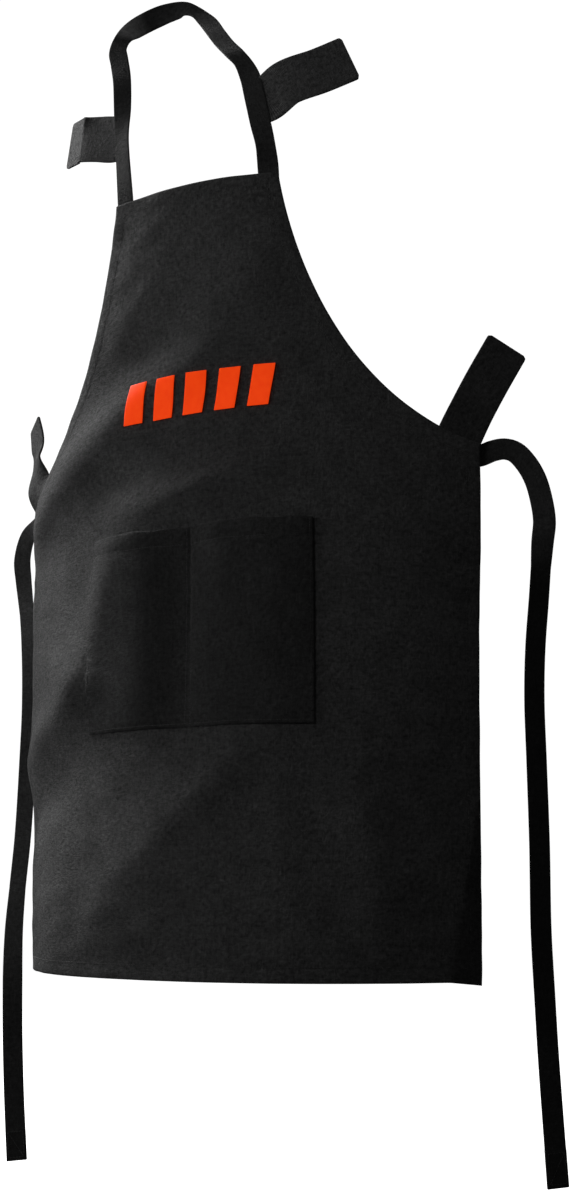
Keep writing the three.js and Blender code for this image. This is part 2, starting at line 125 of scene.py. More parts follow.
def lay_grid(name, places, flat_across, flat_along):
    """A grid with its corners at places, rows by columns, and its UV map in metres of flat cloth."""
    rows, columns = places.shape[:2]
    bpy.ops.object.select_all(action="DESELECT")
    bpy.ops.mesh.primitive_grid_add(x_subdivisions=columns - 1, y_subdivisions=rows - 1, size=1)
    piece = bpy.context.object
    piece.name = piece.data.name = name
    mesh = piece.data
    mesh.vertices.foreach_set("co", places.reshape(-1))
    corners = np.zeros(len(mesh.loops), int)
    mesh.loops.foreach_get("vertex_index", corners)
    flat = np.stack([flat_across, flat_along], axis=-1).reshape(-1, 2)
    mesh.uv_layers.active.data.foreach_set("uv", flat[corners].reshape(-1))
    mesh.update()
    return piece


def paint_shading(piece, amounts):
    """Marks the painted light and shade at each corner of a sheet: how much paler or darker than its
    dye the cloth is drawn.
    """
    layer = piece.data.attributes.new("painted_shading", "FLOAT", "POINT")
    layer.data.foreach_set("value", np.ravel(amounts).astype(float))


def finish_mesh(piece, smooth_angle=40):
    """Applies the piece's modifiers and shades it smooth up to an angle."""
    bpy.ops.object.select_all(action="DESELECT")
    piece.select_set(True)
    bpy.context.view_layer.objects.active = piece
    for modifier in list(piece.modifiers):
        bpy.ops.object.modifier_apply(modifier=modifier.name)
    bpy.ops.object.shade_smooth_by_angle(angle=math.radians(smooth_angle))


def thicken(piece, thickness, offset=0.0, shares=None, bevel=0.4):
    """Gives a sheet its thickness, as shares of it at each corner, and softens its rim."""
    solid = piece.modifiers.new("thickness", "SOLIDIFY")
    solid.thickness = thickness
    solid.offset = offset
    if shares is not None:
        group = piece.vertex_groups.new(name="thickness")
        for corner, share in enumerate(np.ravel(shares)):
            group.add([corner], float(share), "REPLACE")
        solid.vertex_group = group.name
    if bevel:
        soften = piece.modifiers.new("rim", "BEVEL")
        soften.width = bevel * thickness
        soften.segments = 2
        soften.limit_method = "ANGLE"
        soften.angle_limit = math.radians(60)


def lay_strip(
    name, route, wide, width, columns, thickness, thick_shares=None, half_widths=None,
    painted_shading=((0, 0),),
):
    """A strip of webbing along a route, its width along wide. Gives the piece and its places."""
    along = unit(np.gradient(route, axis=0))
    front = unit(np.cross(wide, along))
    wide = np.cross(along, front)
    across = np.linspace(-0.5, 0.5, columns) * width
    spread = np.tile(across, (len(route), 1))
    if half_widths is not None:
        spread = spread * (np.array(half_widths)[:, None] / (width / 2))
    places = route[:, None] + wide[:, None] * spread[..., None]
    run = np.concatenate([[0], np.cumsum(np.linalg.norm(np.diff(route, axis=0), axis=1))])
    piece = lay_grid(name, places, spread, np.tile(run[:, None], (1, columns)))
    # Painted light and shade along the strip, by the share of its length
    painted_at, amounts = np.array(painted_shading, float).T
    painted_tones = np.interp(np.linspace(0, 1, len(route)), painted_at, amounts)
    paint_shading(piece, np.tile(painted_tones[:, None], (1, columns)))
    shares = None
    if thick_shares is not None:
        shares = np.tile(np.array(thick_shares)[:, None], (1, columns))
    thicken(piece, thickness, shares=shares)
    finish_mesh(piece)
    return piece, {"route": route, "wide": wide, "front": front, "run": run}


def add_node(material, kind, inputs=None, **settings):
    """Adds a shader node, sets it up and links each input that is given as another's output."""
    tree = material.node_tree
    node = tree.nodes.new("ShaderNode" + kind)
    for setting, value in settings.items():
        setattr(node, setting, value)
    for socket, value in (inputs or {}).items():
        if isinstance(value, bpy.types.NodeSocket):
            tree.links.new(value, node.inputs[socket])
        else:
            node.inputs[socket].default_value = value
    return node


def woven_cloth(name, colour, yarn, contrast, sheen, relief):
    """Yarns at the pitch yarn, with slubs both ways, worn patches, fuzz and the piece's painted light
    and shade, on the UV map.
    """
    material = bpy.data.materials.new(name)
    material.use_nodes = True
    flat = add_node(material, "TexCoord").outputs["UV"]
    # A wave texture at scale 1 has 20 / (2 * pi) bands a metre
    band_scale = 2 * math.pi / 20 / yarn
    slub_stretches = ((150, 480, 1), (480, 160, 1), (190, 200, 1))
    fleck_weight = 1.6
    grain_low = 1.2
    grain_high = 2.4
    grain_relief = 1.3
    relief_depth = 0.0018
    threads = [
        add_node(
            material, "TexWave", {"Vector": flat, "Scale": band_scale, "Distortion": 0.6,
                                  "Detail": 1.0, "Detail Scale": 0.4},
            wave_type="BANDS", bands_direction=direction,
        ).outputs["Fac"]
        for direction in ("X", "Y")
    ]
    weave = add_node(material, "Math", {0: threads[0], 1: threads[1]}, operation="MULTIPLY")
    slubs = []
    for stretch in slub_stretches:
        fitted = add_node(material, "Mapping", {"Vector": flat, "Scale": stretch})
        slubs.append(add_node(
            material, "TexNoise", {"Vector": fitted.outputs[0], "Scale": 1.0, "Detail": 2.0,
                                   "Roughness": 0.6},
        ).outputs["Fac"])
    streaks = add_node(material, "Math", {0: slubs[0], 1: slubs[1]}, operation="ADD")
    grain = add_node(
        material, "Math", {0: slubs[2], 1: fleck_weight, 2: streaks.outputs[0]},
        operation="MULTIPLY_ADD",
    )
    worn = add_node(
        material, "TexNoise", {"Vector": flat, "Scale": 24.0, "Detail": 6.0, "Roughness": 0.85},
    )
    # The painted light and shade marked on the piece lighten or darken the dye
    painted_shade_node = add_node(material, "Attribute", attribute_name="painted_shading")
    shade = add_node(
        material, "MapRange", {"Value": grain.outputs[0], "From Min": grain_low,
                               "From Max": grain_high, "To Min": 1 - contrast,
                               "To Max": 1 + contrast},
    )
    fade = add_node(
        material, "MapRange", {"Value": worn.outputs["Fac"], "From Min": 0.3, "From Max": 0.7,
                               "To Min": 0.68, "To Max": 1.32},
    )
    mottled = add_node(
        material, "Math", {0: shade.outputs[0], 1: fade.outputs[0]}, operation="MULTIPLY",
    )
    tone = add_node(
        material, "Math", {0: mottled.outputs[0], 1: painted_shade_node.outputs["Fac"],
                           2: mottled.outputs[0]}, operation="MULTIPLY_ADD",
    )
    dyed = add_node(
        material, "VectorMath", {0: colour, "Scale": tone.outputs[0]}, operation="SCALE",
    )
    height = add_node(
        material, "Math", {0: grain.outputs[0], 1: grain_relief, 2: weave.outputs[0]},
        operation="MULTIPLY_ADD",
    )
    bump = add_node(
        material, "Bump", {"Height": height.outputs[0], "Strength": relief,
                           "Distance": relief_depth},
    )
    matte = add_node(
        material, "MapRange", {"Value": grain.outputs[0], "From Min": grain_low,
                               "From Max": grain_high, "To Min": 0.96, "To Max": 0.8},
    )
    shader = material.node_tree.nodes["Principled BSDF"]
    material.node_tree.links.new(dyed.outputs[0], shader.inputs["Base Color"])
    material.node_tree.links.new(matte.outputs[0], shader.inputs["Roughness"])
    material.node_tree.links.new(bump.outputs[0], shader.inputs["Normal"])
    shader.inputs["Specular IOR Level"].default_value = 0.12
    shader.inputs["Sheen Weight"].default_value = sheen
    shader.inputs["Sheen Roughness"].default_value = 0.55
    shader.inputs["Sheen Tint"].default_value = (0.8, 0.8, 0.82, 1)
    return material


def give(piece, material):
    """Puts on the material, and lets the piece ride on the apron's one body."""
    piece.data.materials.clear()
    piece.data.materials.append(material)
    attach(piece, "root")


def model_stitch():
    """One stitch of thread, 1 long, 1 wide and 1 high. Gives its corners and its faces."""
    bpy.ops.object.select_all(action="DESELECT")
    bpy.ops.mesh.primitive_uv_sphere_add(segments=6, ring_count=4, radius=0.5)
    stitch = bpy.context.object
    corners = np.array([corner.co[:] for corner in stitch.data.vertices])[:, [2, 0, 1]]
    faces = [list(face.vertices) for face in stitch.data.polygons]
    mesh = stitch.data
    bpy.data.objects.remove(stitch)
    bpy.data.meshes.remove(mesh)
    return corners, faces


stitch_corners, stitch_faces = model_stitch()
stitch_pitch = 0.0034
stitch_length = 0.0028
thread_width = 0.0007
thread_crease_angle = 80


def sew(name, lines, material):
    """Rows of stitches as one piece. A line is its places and the directions that face outwards."""
    corners = []
    faces = []
    for places, outwards in lines:
        run = np.concatenate([[0], np.cumsum(np.linalg.norm(np.diff(places, axis=0), axis=1))])
        for middle in np.arange(stitch_pitch / 2, run[-1], stitch_pitch):
            ends = [
                np.array([np.interp(middle + side * stitch_length / 2, run, line)
                          for line in places.T]) for side in (-1, 1)
            ]
            outward = unit(np.array([np.interp(middle, run, line) for line in outwards.T]))
            along = unit(ends[1] - ends[0])
            sideways = unit(np.cross(outward, along))
            first = len(corners) * len(stitch_corners)
            corners.append(
                (ends[0] + ends[1]) / 2
                + stitch_corners[:, :1] * along * stitch_length
                + stitch_corners[:, 1:2] * sideways * thread_width
                + stitch_corners[:, 2:] * np.cross(along, sideways) * thread_width
            )
            faces += [[first + corner for corner in face] for face in stitch_faces]
    mesh = bpy.data.meshes.new(name)
    mesh.from_pydata(np.vstack(corners).tolist(), [], faces)
    piece = bpy.data.objects.new(name, mesh)
    bpy.context.collection.objects.link(piece)
    finish_mesh(piece, thread_crease_angle)
    give(piece, material)
    return piece


tape_cloth = woven_cloth(
    "tape_cloth", (0.032, 0.032, 0.032), yarn=0.0009, contrast=0.4, sheen=0.02, relief=0.8,
)
dark_thread = bpy.data.materials.new("dark_thread")
dark_thread.use_nodes = True
thread_twist = add_node(
    dark_thread, "TexNoise", {
        "Vector": add_node(dark_thread, "TexCoord").outputs["Object"], "Scale": 900.0,
    },
)
thread_shader = dark_thread.node_tree.nodes["Principled BSDF"]
thread_shade = add_node(
    dark_thread, "MapRange", {"Value": thread_twist.outputs["Fac"], "To Min": 0.4, "To Max": 1.6},
)
thread_dye = add_node(
    dark_thread, "VectorMath", {0: (0.018, 0.018, 0.018), "Scale": thread_shade.outputs[0]},
    operation="SCALE",
)
dark_thread.node_tree.links.new(thread_dye.outputs[0], thread_shader.inputs["Base Color"])
thread_shader.inputs["Roughness"].default_value = 0.6
thread_shader.inputs["Sheen Weight"].default_value = 0.2


def box_of_stitches(strip, start, end, half_width, lift):
    """A box of stitches with one diagonal across it, from start to end along a strip, on its front, or
    on its back where lift is negative.
    """
    places_a_side = 12
    corners = [(-1, start), (1, start), (1, end), (-1, end), (-1, start), (1, end)]
    outline = []
    outwards = []
    for (side_a, run_a), (side_b, run_b) in zip(corners, corners[1:]):
        for share in np.linspace(0, 1, places_a_side):
            run = run_a + (run_b - run_a) * share
            side = (side_a + (side_b - side_a) * share) * half_width
            here = {
                key: np.array([np.interp(run, strip["run"], line) for line in strip[key].T])
                for key in ("route", "wide", "front")
            }
            outline.append(here["route"] + side * here["wide"] + lift * here["front"])
            outwards.append(here["front"] * np.sign(lift))
    return np.array(outline), np.array(outwards)


for side, rows, facing in (
    ("right", right_tie_route, right_tie_facing), ("left", left_tie_route, left_tie_facing),
):
    route, tie_length = smooth_route(rows, route_steps)
    share = np.linspace(0, 1, len(route))
    at, sideways, backwards = np.array(facing).T
    faces_to = np.column_stack([
        np.interp(share, at, sideways), np.interp(share, at, backwards), np.zeros(len(share)),
    ])
    wide = np.cross(np.gradient(route, axis=0), faces_to) * (1 if side == "right" else -1)
    doubled = np.where(share * tie_length > tie_length - tie_fold, 1.0, single_share)
    tie, strip = lay_strip(
        f"tie_tape_{side}", route, unit(wide), tape_width, tape_columns, doubled_thickness, doubled,
        painted_shading=tie_painted_shading[side],
    )
    give(tie, tape_cloth)
    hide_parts(f"waist_tie_{side}")
    fold_box = [
        box_of_stitches(strip, tie_length - tie_fold + fold_side_margin,
                        tie_length - fold_end_margin, tape_width / 2 - fold_side_margin,
                        lift * fold_stitch_lift)
        for lift in (-1, 1)
    ]
    tie_sewing = sew(f"tie_sewing_{side}", fold_box, dark_thread)

# Apron panel: one cut of charcoal cotton canvas, its edges turned to the back twice and sewn
# down. It keeps the rounded form in which it is worn, so it carries long soft folds.
bib_top = np.array([0.04903, -0.069, -0.279])
apron_length = 0.9
half_skirt = 0.326
half_bib = 0.108
bib_height = 0.33
cloth = 0.0014
hem_turn = 0.0011
hem_width = 0.018
hem_stitch = 0.0155
hem_end = 0.0187
crease_angle = 50
# How the hem shows at the front: a rounded rim, a sunk line of stitches and a slight puff
rim_steps = [0, 0.0008, 0.0022, 0.004]
rim_drops = [0.0009, 0.0003, 0.00005, 0]
groove_depth = 0.0002
groove_reach = 0.0011
puff_height = 0.00015
puff_middle = 0.008
puff_reach = 0.004
# How the cloth is wrapped: share of the length, setback, degrees of turn on the left and right
wrap_sections = [
    (0.0, 0.00805, 37, 63),
    (0.17, 0.01449, 48, 46),
    (0.33, 0.02231, 43, 30),
    (0.6, 0.023, 45, 46),
    (1.0, 0.0138, 52, 50),
]
# Folds as ridges and troughs: from and to, across and down as shares, height and width
folds = [
    (-0.35, 0.198, 0.00, 0.049, 0.0016, 0.019),
    (-0.57, 0.309, 0.34, 0.216, 0.0047, 0.025),
    (-0.99, 0.409, -0.27, 0.304, 0.0090, 0.029),
    (-0.30, 0.418, 0.20, 0.409, 0.0052, 0.024),
    (-1.04, 0.736, -0.46, 0.638, 0.0088, 0.030),
    (-0.62, 0.861, -0.58, 1.000, 0.0041, 0.030),
    (-0.42, 0.941, 0.28, 0.694, 0.0045, 0.029),
    (0.58, 0.786, 0.68, 0.938, 0.0080, 0.030),
    (-0.54, 0.570, -0.49, 0.673, 0.0041, 0.026),
    (0.28, 0.093, -0.03, 0.265, 0.0046, 0.029),
    (-0.46, 0.242, -0.02, 0.179, -0.0042, 0.027),
    (-0.88, 0.461, -0.08, 0.334, -0.0036, 0.030),
    (-1.00, 0.819, -0.51, 0.739, -0.0051, 0.029),
    (0.00, 0.802, 0.26, 0.735, 0.0037, 0.019),
    (-0.76, 0.890, -0.69, 0.992, 0.0041, 0.027),
    (-0.35, 1.000, 0.06, 0.976, -0.0044, 0.030),
    (0.24, 0.350, 0.36, 0.995, 0.0017, 0.030),
    (-0.34, 0.479, -0.44, 0.614, 0.0066, 0.029),
    (-0.05, 0.454, -0.02, 0.722, -0.0051, 0.025),
    (-0.03, 0.356, 0.14, 0.487, 0.0017, 0.022),
    (-0.72, 0.600, -0.47, 0.642, 0.0080, 0.028),
    (-0.14, 0.421, 0.34, 0.368, 0.0054, 0.023),
    (-0.79, 0.350, -0.51, 0.311, 0.0026, 0.020),
    (-0.30, 0.123, -0.09, 0.023, 0.0025, 0.030),
    (-0.23, 0.209, 0.04, 0.122, -0.0028, 0.021),
    (-0.50, 0.396, -0.75, 0.427, 0.0029, 0.023),
    (-1.02, 0.360, -1.02, 0.470, -0.0040, 0.028),
]
# Patches of painted light and shade on the cloth: across, down, reach and amount
painted_shading_patches = [
    (-0.02, 0.10, 0.11, 0.50),
    (-0.06, 0.20, 0.05, 0.30),
    (-0.10, 0.34, 0.05, 0.65),
    (-0.27, 0.37, 0.03, -0.35),
    (-0.21, 0.50, 0.06, 0.35),
    (-0.25, 0.76, 0.09, 0.40),
    (-0.10, 0.72, 0.08, 0.40),
    (0.20, 0.52, 0.12, 0.30),
    (0.20, 0.78, 0.15, 0.20),
]
# The turned-back corner: where its crease meets the side and the hem, and how far its tip lies
# back, out and down
corner_crease = (0.78, 0.88)
corner_setback = 0.019
corner_flare = 0.011
corner_drop = 0.0055
# How far a fold sinks towards its ends, and how far the cloth is uneven between the folds
fold_taper = 0.6
unevenness = 0.0004
# The armhole: its two ends, and between them the two points that pull it into its curve
armhole_points = np.array([
    [half_bib, 0.0], [0.12784, 0.13959], [0.20501, 0.2937], [half_skirt, bib_height],
])
pull = np.linspace(0, 1, 241)[:, None]
armhole = (
    armhole_points[0] * (1 - pull)**3 + armhole_points[1] * 3 * pull * (1 - pull)**2
    + armhole_points[2] * 3 * pull**2 * (1 - pull) + armhole_points[3] * pull**3
)
armhole_run = unit(np.gradient(armhole, axis=0))
armhole_inwards = np.column_stack([-armhole_run[:, 1], armhole_run[:, 0]])


def smooth_table(table, places):
    """The columns of a table at other places of its first column, on smooth curves."""
    table = np.array(table, float)
    at, values = table[:, :1], table[:, 1:]
    slopes = np.diff(values, axis=0) / np.diff(at, axis=0)
    slopes = np.vstack([slopes[:1], (slopes[1:] + slopes[:-1]) / 2, slopes[-1:]])
    row = np.clip(np.searchsorted(table[:, 0], places, side="right") - 1, 0, len(table) - 2)
    gap = at[row + 1] - at[row]
    t = (places[:, None] - at[row]) / gap
    return (
        values[row] * (2 * t**3 - 3 * t**2 + 1) + slopes[row] * gap * (t**3 - 2 * t**2 + t)
        + values[row + 1] * (3 * t**2 - 2 * t**3) + slopes[row + 1] * gap * (t**3 - t**2)
    ).T


def wrapped_point(across, down):
    """The smooth surface that the cloth is wrapped on."""
    setback, left, right = smooth_table(wrap_sections, down / apron_length)
    curvature = np.radians(np.where(across < 0, left, right)) / half_skirt
    turn = curvature * across
    return bib_top + np.column_stack(
        [np.sin(turn) / curvature, setback + (1 - np.cos(turn)) / curvature, -down]
    )


def front_normal(surface, across, down):
    """Which way a surface faces at each place, towards the front."""
    reach = 0.001
    sideways = surface(across + reach, down) - surface(across - reach, down)
    downwards = surface(across, down + reach) - surface(across, down - reach)
    return unit(np.cross(downwards, sideways))


def fold_lift(across, down):
    """How far the folds and the slight unevenness of the cloth stand out."""
    lift = 0.0
    for a0, d0, a1, d1, height, width in folds:
        start = np.array([a0 * half_skirt, d0 * apron_length])
        run = np.array([a1 * half_skirt, d1 * apron_length]) - start
        away = np.column_stack([across, down]) - start
        along = np.clip(away @ run / (run @ run), 0, 1)
        distance = np.linalg.norm(away - along[:, None] * run, axis=1) / width
        lift = lift + height * (1 - fold_taper * np.abs(2 * along - 1)**3) * np.exp(-distance**2)
    # Waves of unlike pitch, so that no pattern shows
    uneven = (
        np.sin(across * 71 + 19 * np.sin(down * 7)) * np.sin(down * 63 + 2 * np.sin(across * 23))
        + 0.6 * np.sin(across * 131 - down * 97 + 1.3)
    )
    return lift + unevenness * uneven


def beyond_crease(across, down):
    """How far places lie beyond the skirt corner's crease, as a share of its width at the hem."""
    side_start, hem_start = corner_crease
    share = np.clip((down / apron_length - side_start) / (1 - side_start), 0, 1)
    crease = 1 + (hem_start - 1) * share
    return np.where(share > 0, np.maximum((across / half_skirt - crease) / (1 - hem_start), 0), 0)


def cloth_point(across, down):
    """The middle of the panel's cloth, with its folds and its turned-back corner."""
    beyond = beyond_crease(across, down)
    lift = fold_lift(across, down) - corner_setback * beyond
    spread = across + corner_flare * beyond
    places = wrapped_point(spread, down)
    places = places + front_normal(wrapped_point, spread, down) * lift[:, None]
    places[:, 2] -= corner_drop * beyond
    return places


def off_panel(across, down, forward):
    """Places in front of the middle of the panel's cloth, or behind it where forward is negative."""
    across, down, forward = np.broadcast_arrays(*map(np.atleast_1d, (across, down, forward)))
    shape = across.shape
    across, down, forward = across.ravel(), down.ravel(), forward.ravel()
    places = cloth_point(across, down) + front_normal(cloth_point, across, down) * forward[:, None]
    return places.reshape(*shape, 3)


def inset_line(down, inset):
    """How far from the middle a line runs that is inset from the armhole and the side."""
    edge = armhole + inset * armhole_inwards
    return np.minimum(np.interp(down, edge[:, 1], edge[:, 0]), half_skirt - inset)


def edge_profile(gap):
    """How far cloth drops back near its edge and at the hem's stitches, by distance from the edge."""
    rim = np.interp(gap, rim_steps, rim_drops)
    groove = groove_depth * np.exp(-((gap - hem_stitch) / groove_reach)**2)
    puff = puff_height * np.exp(-((gap - puff_middle) / puff_reach)**2)
    return rim + groove - puff


# Distances from the edge at which the mesh has lines, closest at the rim and the stitches
edge_steps = rim_steps + [
    puff_middle, 0.012, 0.0142, hem_stitch, 0.0168, hem_width, hem_end, 0.022,
]
bib_rows = 74
skirt_rows = 108
inner_columns = 120

bib_start = np.interp(edge_steps[-1], armhole[:, 1], pull[:, 0])
bib_shares = np.linspace(bib_start, 1, bib_rows, endpoint=False)[1:]
down_rows = np.concatenate([
    edge_steps, np.interp(bib_shares, pull[:, 0], armhole[:, 1]),
    np.linspace(bib_height, apron_length - edge_steps[-1], skirt_rows)[:-1],
    apron_length - np.array(edge_steps[::-1]),
])[::-1]
half_columns = np.array([inset_line(down_rows, inset) for inset in edge_steps])
inner = np.linspace(-1, 1, inner_columns + 1)[1:-1]
across_grid = np.vstack([-half_columns, inner[:, None] * half_columns[-1], half_columns[::-1]]).T
down_grid = np.tile(down_rows[:, None], (1, across_grid.shape[1]))
side_gap = np.array(edge_steps + [1] * len(inner) + edge_steps[::-1])
edge_gap = np.minimum(side_gap, np.minimum(down_grid, apron_length - down_grid))
panel_places = off_panel(across_grid, down_grid, cloth / 2 - edge_profile(edge_gap))
panel = lay_grid("panel_cloth", panel_places, across_grid, down_grid)
# Painted light and shade on the panel, patch by patch
painted_tones = np.zeros(across_grid.shape)
for across, down, reach, amount in painted_shading_patches:
    painted_tones += amount * np.exp(-((across_grid - across)**2 + (down_grid - down)**2) / reach**2)
paint_shading(panel, painted_tones)
hem_shares = np.interp(
    edge_gap, [0, rim_steps[2], hem_width, hem_end], [0.4, 1, 1, cloth / (cloth + hem_turn)],
)
thicken(panel, cloth + hem_turn, offset=-1, shares=hem_shares, bevel=0)
finish_mesh(panel, crease_angle)
canvas = woven_cloth(
    "canvas", (0.056, 0.056, 0.056), yarn=0.0011, contrast=0.55, sheen=0.02, relief=0.9,
)
give(panel, canvas)
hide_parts("apron_panel")


def seam_line(across, down, forward):
    """A line of places for stitches on the panel or in front of it."""
    return off_panel(across, down, forward), front_normal(cloth_point, across, down)


stitch_lift = 0.0002
side_places = 400
hem_places = 200
top_places = 80
on_cloth = cloth / 2 - edge_profile(hem_stitch) + stitch_lift
side_down = np.linspace(hem_stitch, apron_length - hem_stitch, side_places)
hem_across = np.linspace(-1, 1, hem_places) * (half_skirt - hem_stitch)
top_across = np.linspace(-1, 1, top_places) * inset_line(np.array([hem_stitch]), hem_stitch)
hem_lines = [
    seam_line(side * inset_line(side_down, hem_stitch), side_down, on_cloth) for side in (-1, 1)
]
hem_lines.append(seam_line(hem_across, np.full(hem_places, apron_length - hem_stitch), on_cloth))
hem_lines.append(seam_line(top_across, np.full(top_places, hem_stitch), on_cloth))
panel_sewing = sew("panel_sewing", hem_lines, dark_thread)

# Front pocket: one piece of the same canvas, its edges turned under, sewn to the panel at its
# sides, its foot and its middle, so that it has two compartments that stand open a little.
half_pocket = 0.143
pocket_drop = 0.409
pocket_height = 0.224
pocket_cloth = 0.0015
pocket_mouth = 0.012
mouth_hem = 0.020
seam_gap = 0.0006
seam_inset = 0.0035
seam_groove = 0.0003
seam_groove_reach = 0.0012
mouth_line = 0.0004
mouth_puff = 0.0006
mouth_puff_middle = 0.009
mouth_puff_reach = 0.007
pucker_height = 0.0004
pucker_reach = 0.012
pocket_rim_steps = [0, 0.0008, 0.0022]
pocket_rim_drops = [0.0007, 0.0002, 0]
mouth_thickness = 0.002175
plain_share = 0.68
pocket_stitch_lift = 0.0001
mouth_line_gap = 0.006
# Upright bands of painted shade on the pocket's cloth: middle, reach and amount
pocket_painted_shade = [(-0.045, 0.032, -0.45), (0.06, 0.04, -0.225)]


def pocket_forward(across, below):
    """How far the pocket's front stands off the middle of the panel's cloth."""
    share = (across / half_pocket + 1) / 2
    drop = np.cos(below / pocket_height * np.pi / 2)
    bulge = np.sin(np.pi * np.mod(2 * share, 1))**0.7 * np.maximum(drop, 0)**0.6
    to_seam = np.minimum(np.abs(across), half_pocket - np.abs(across))
    to_edge = np.minimum(half_pocket - np.abs(across), pocket_height - below)
    rim = np.interp(np.minimum(to_edge, below), pocket_rim_steps, pocket_rim_drops)
    sunk = np.minimum(np.abs(to_edge - seam_inset), np.abs(np.abs(across) - seam_inset))
    groove = seam_groove * np.exp(-(sunk / seam_groove_reach)**2)
    hem_line = mouth_line * np.exp(-((below - mouth_hem) / seam_groove_reach)**2)
    hem_puff = mouth_puff * np.exp(-((below - mouth_puff_middle) / mouth_puff_reach)**2)
    waves = np.sin(below * 420 + across * 60)
    pucker = pucker_height * waves * np.exp(-to_seam / pucker_reach)
    return (
        cloth / 2 + seam_gap + pocket_cloth + pocket_mouth * np.maximum(bulge, 0)
        - rim - groove - hem_line + hem_puff + pucker
    )


pocket_edge = np.array(pocket_rim_steps + [seam_inset, 0.005, 0.008])
pocket_half = np.concatenate([
    [0, 0.0022, seam_inset, 0.005, 0.008], np.linspace(0.008, half_pocket - 0.008, 34)[1:-1],
    half_pocket - pocket_edge[::-1],
])
pocket_columns = np.concatenate([-pocket_half[:0:-1], pocket_half])
pocket_rows = np.concatenate([
    pocket_rim_steps, [0.005, mouth_puff_middle, 0.014, 0.0185, mouth_hem, 0.0215],
    np.linspace(0.025, pocket_height - 0.008, 52)[:-1], pocket_height - pocket_edge[::-1],
])[::-1]
pocket_across, pocket_below = np.meshgrid(pocket_columns, pocket_rows)
pocket_places = off_panel(
    pocket_across, pocket_drop + pocket_below, pocket_forward(pocket_across, pocket_below)
)
pocket = lay_grid("pocket_cloth", pocket_places, pocket_across, pocket_below)
# Painted shade in upright bands on the pocket
paint_shading(pocket, sum(
    amount * np.exp(-((pocket_across - middle) / reach)**2)
    for middle, reach, amount in pocket_painted_shade
))
mouth_shares = np.interp(
    pocket_below, [0, 0.002, mouth_hem - 0.001, mouth_hem + 0.001], [0.5, 1, 1, plain_share],
)
thicken(pocket, mouth_thickness, offset=-1, shares=mouth_shares, bevel=0)
finish_mesh(pocket, crease_angle)
# The pocket's canvas is the panel's canvas with a darker dye: painted shade
pocket_canvas = woven_cloth(
    "pocket_canvas", (0.043, 0.043, 0.043), yarn=0.0011, contrast=0.42, sheen=0.02, relief=0.9,
)
give(pocket, pocket_canvas)
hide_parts("front_pocket")


def pocket_seam(across, below):
    """A line of places for stitches on the pocket's front."""
    forward = pocket_forward(across, below) + pocket_stitch_lift
    return seam_line(across, pocket_drop + below, forward)


foot_places = 120
upright_places = 90
mouth_places = 60
foot_across = np.linspace(-1, 1, foot_places) * (half_pocket - seam_inset)
side_below = np.linspace(0.002, pocket_height - seam_inset, upright_places)
pocket_lines = [
    pocket_seam(np.full(upright_places, across), side_below)
    for across in (seam_inset - half_pocket, half_pocket - seam_inset, -seam_inset, seam_inset)
]
pocket_lines.append(pocket_seam(foot_across, np.full(foot_places, pocket_height - seam_inset)))
for start, end in (
    (mouth_line_gap - half_pocket, -mouth_line_gap), (mouth_line_gap, half_pocket - mouth_line_gap),
):
    mouth_across = np.linspace(start, end, mouth_places)
    pocket_lines.append(pocket_seam(mouth_across, np.full(mouth_places, mouth_hem)))
pocket_sewing = sew("pocket_sewing", pocket_lines, dark_thread)

# Neck strap: the same flat tape, sewn behind one corner of the bib, over the shoulders and
# behind the neck, where it twists, and sewn behind the other corner. Each row is a place on it
# and the direction to the edge that lies inside the loop.
neck_rows = [
    (-0.04582, -0.04648, -0.30678, 0.982, -0.190, 0),
    (-0.04588, -0.04734, -0.29278, 0.982, -0.190, 0),
    (-0.04594, -0.04817, -0.27889, 0.982, -0.190, 0),
    (-0.0540, -0.0473, -0.1911, 0.951, -0.310, 0),
    (-0.0551, -0.0463, -0.1472, 0.999, -0.001, 0.043),
    (-0.0577, -0.0452, -0.1080, 0.984, 0.084, 0.158),
    (-0.0665, -0.0383, -0.0771, 0.964, 0.099, 0.248),
    (-0.0717, -0.0344, -0.0575, 0.997, 0.079, 0.006),
    (-0.0675, -0.0289, -0.0388, 0.894, 0.130, -0.430),
    (-0.0554, -0.0172, -0.0205, 0.404, 0.505, -0.763),
    (-0.0346, -0.0084, -0.0078, 0.184, 0.554, -0.812),
    (-0.0188, -0.0034, -0.0021, 0.148, 0.268, -0.952),
    (0.0000, 0.0010, 0.0000, -0.108, -0.153, -0.982),
    (0.0119, 0.0012, -0.0046, -0.407, -0.554, -0.726),
    (0.0252, 0.0006, -0.0144, -0.524, -0.703, -0.481),
    (0.0373, -0.0017, -0.0287, -0.738, -0.571, -0.360),
    (0.0563, -0.0166, -0.0567, -0.771, -0.579, -0.266),
    (0.0737, -0.0255, -0.0825, -0.740, -0.591, -0.321),
    (0.0943, -0.0358, -0.1089, -0.718, -0.582, -0.382),
    (0.1082, -0.0391, -0.1278, -0.694, -0.648, -0.312),
    (0.1181, -0.0417, -0.1501, -0.92, -0.38, -0.05),
    (0.1241, -0.0426, -0.1755, -0.93, -0.36, 0),
    (0.1317, -0.0431, -0.2098, -0.890, -0.413, -0.193),
    (0.1400, -0.0439, -0.2465, -0.739, -0.662, -0.124),
    (0.14242, -0.04196, -0.27898, -0.948, -0.319, 0),
    (0.14253, -0.04174, -0.29296, -0.948, -0.319, 0),
    (0.14264, -0.04154, -0.30696, -0.948, -0.319, 0),
]
